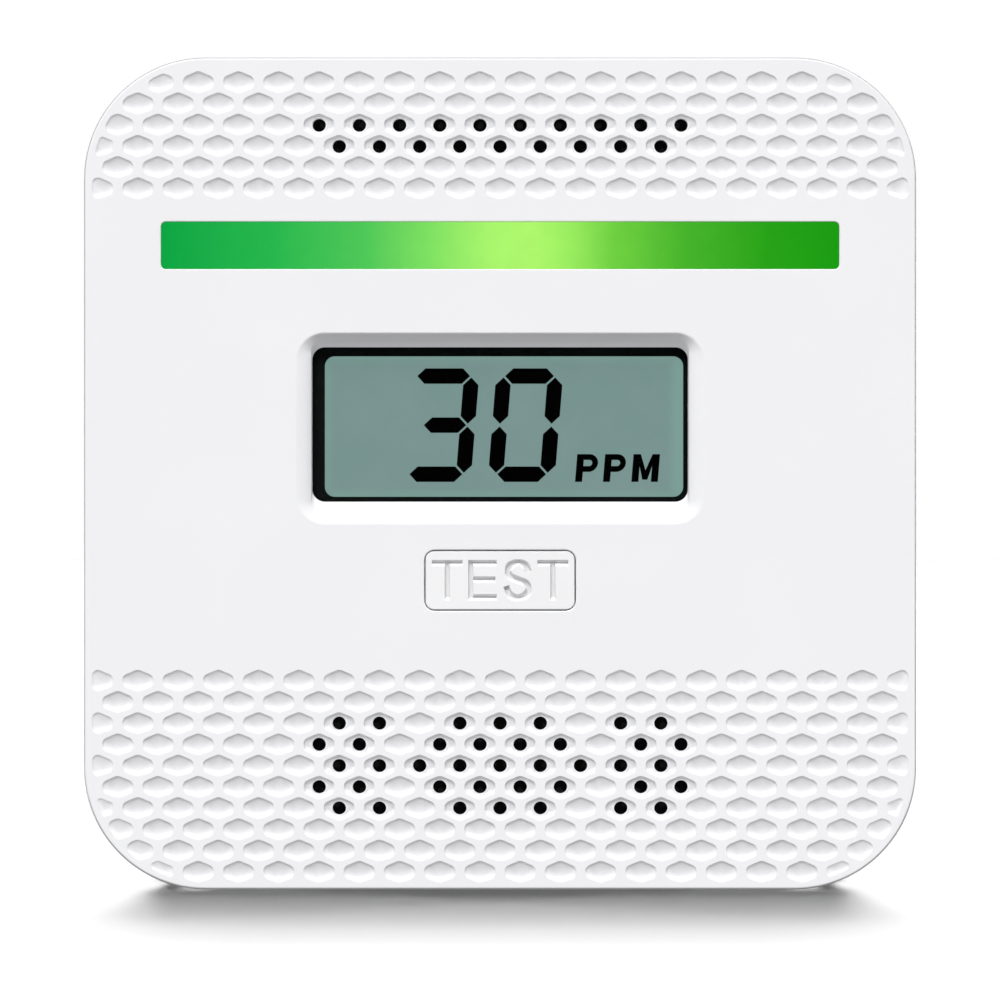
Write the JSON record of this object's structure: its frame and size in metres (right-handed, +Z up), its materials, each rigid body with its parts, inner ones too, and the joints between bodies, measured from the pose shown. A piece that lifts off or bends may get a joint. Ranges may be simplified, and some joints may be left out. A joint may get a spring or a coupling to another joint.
{
  "type": "carbon monoxide detector",
  "caption": "Square carbon monoxide alarm: honeycomb vent face, light bar, recessed display, sprung test button, hinged battery door and slide-on wall bracket.",
  "frame": {"origin": "middle of the bottom face, which the alarm stands on", "axes": "+Z up, -Y out of the display face, +Y towards the wall, +X to the right seen from the front"},
  "size_m": [0.1, 0.037, 0.1],
  "materials": {
    "cover_white": "fine satin, off white",
    "button_white": "satin, off white",
    "bracket_grey": "satin, light grey",
    "lens_green": "translucent, lit green",
    "window_clear": "clear polished plastic",
    "screen_black": "fine black mesh",
    "screw_steel": "zinc plated",
    "board_green": "green solder mask",
    "black_plastic": "fine matte, black",
    "lcd_glass": "polished, grey green tint",
    "lcd_reflector": "soft metallic film",
    "grey_rubber": "soft matte, dark grey",
    "reflector_white": "bright white",
    "led_yellow": "clear resin over phosphor",
    "brass": "rolled, satin",
    "pin_steel": "tinned",
    "sensor_grey": "nickel plated can",
    "capacitor_blue": "dark blue sleeve",
    "coil_copper": "enamelled copper winding",
    "resistor_black": "glazed ceramic, tinned ends",
    "cell_metal": "nickel plated can",
    "cell_sleeve": "printed wrap with no print, blue",
    "spring_steel": "nickel plated spring steel",
    "red_vinyl": "smooth vinyl, red",
    "black_vinyl": "smooth vinyl, black"
  },
  "bodies": {
    "housing": {"front_cover": "cover_white", "rear_cover": "cover_white", "light_bar_lens": "lens_green", "display_window": "window_clear", "upper_vent_screen": "screen_black", "lower_vent_screen": "screen_black", "case_screws": "screw_steel", "board_screws": "screw_steel", "main_board": "board_green", "lcd_frame": "black_plastic", "switch_body": "black_plastic", "buzzer_case": "black_plastic", "buzzer_base": "black_plastic", "controller_chip": "black_plastic", "lcd_front_glass": "lcd_glass", "lcd_rear_glass": "lcd_glass", "lcd_reflector": "lcd_reflector", "lcd_connector_strips": "grey_rubber", "buzzer_gasket": "grey_rubber", "sensor_gasket": "grey_rubber", "light_bar_reflector": "reflector_white", "sensor_filter": "reflector_white", "status_leds": "led_yellow", "piezo_disc": "brass", "sensor_cap": "brass", "buzzer_pins": "pin_steel", "sensor_pins": "pin_steel", "controller_leads": "pin_steel", "sensor_body": "sensor_grey", "capacitors": "capacitor_blue", "buzzer_coil": "coil_copper", "chip_resistors": "resistor_black", "battery_can_1": "cell_metal", "battery_can_2": "cell_metal", "battery_can_3": "cell_metal", "battery_sleeve_1": "cell_sleeve", "battery_sleeve_2": "cell_sleeve", "battery_sleeve_3": "cell_sleeve", "battery_spring_1": "spring_steel", "battery_spring_2": "spring_steel", "battery_spring_3": "spring_steel", "contact_positive": "spring_steel", "contact_negative": "spring_steel", "contact_bridge_left": "spring_steel", "contact_bridge_right": "spring_steel", "red_lead": "red_vinyl", "black_lead": "black_vinyl"},
    "button": {"test_button": "button_white"},
    "plunger": {"switch_plunger": "reflector_white"},
    "door": {"battery_door": "cover_white"},
    "bracket": {"wall_bracket": "bracket_grey"}
  },
  "joints": [
    {"name": "test_press", "type": "slide", "parent": "housing", "child": "button", "axis": [0, 1, 0], "range_m": [0, 0.0005], "stiffness_N_per_m": 2000},
    {"name": "plunger_press", "type": "slide", "parent": "housing", "child": "plunger", "axis": [0, 1, 0], "range_m": [0, 0.0005]},
    {"name": "battery_door_hinge", "type": "hinge", "parent": "housing", "child": "door", "pos_m": [0, 0.0169, 0.00685], "axis": [-1, 0, 0], "range_deg": [0, 90]},
    {"name": "bracket_slide", "type": "slide", "parent": "housing", "child": "bracket", "axis": [0, 0, -1], "range_m": [0, 0.007]}
  ],
  "couplings": [
    {"joint": "plunger_press", "follows": "test_press", "ratio": 1}
  ]
}
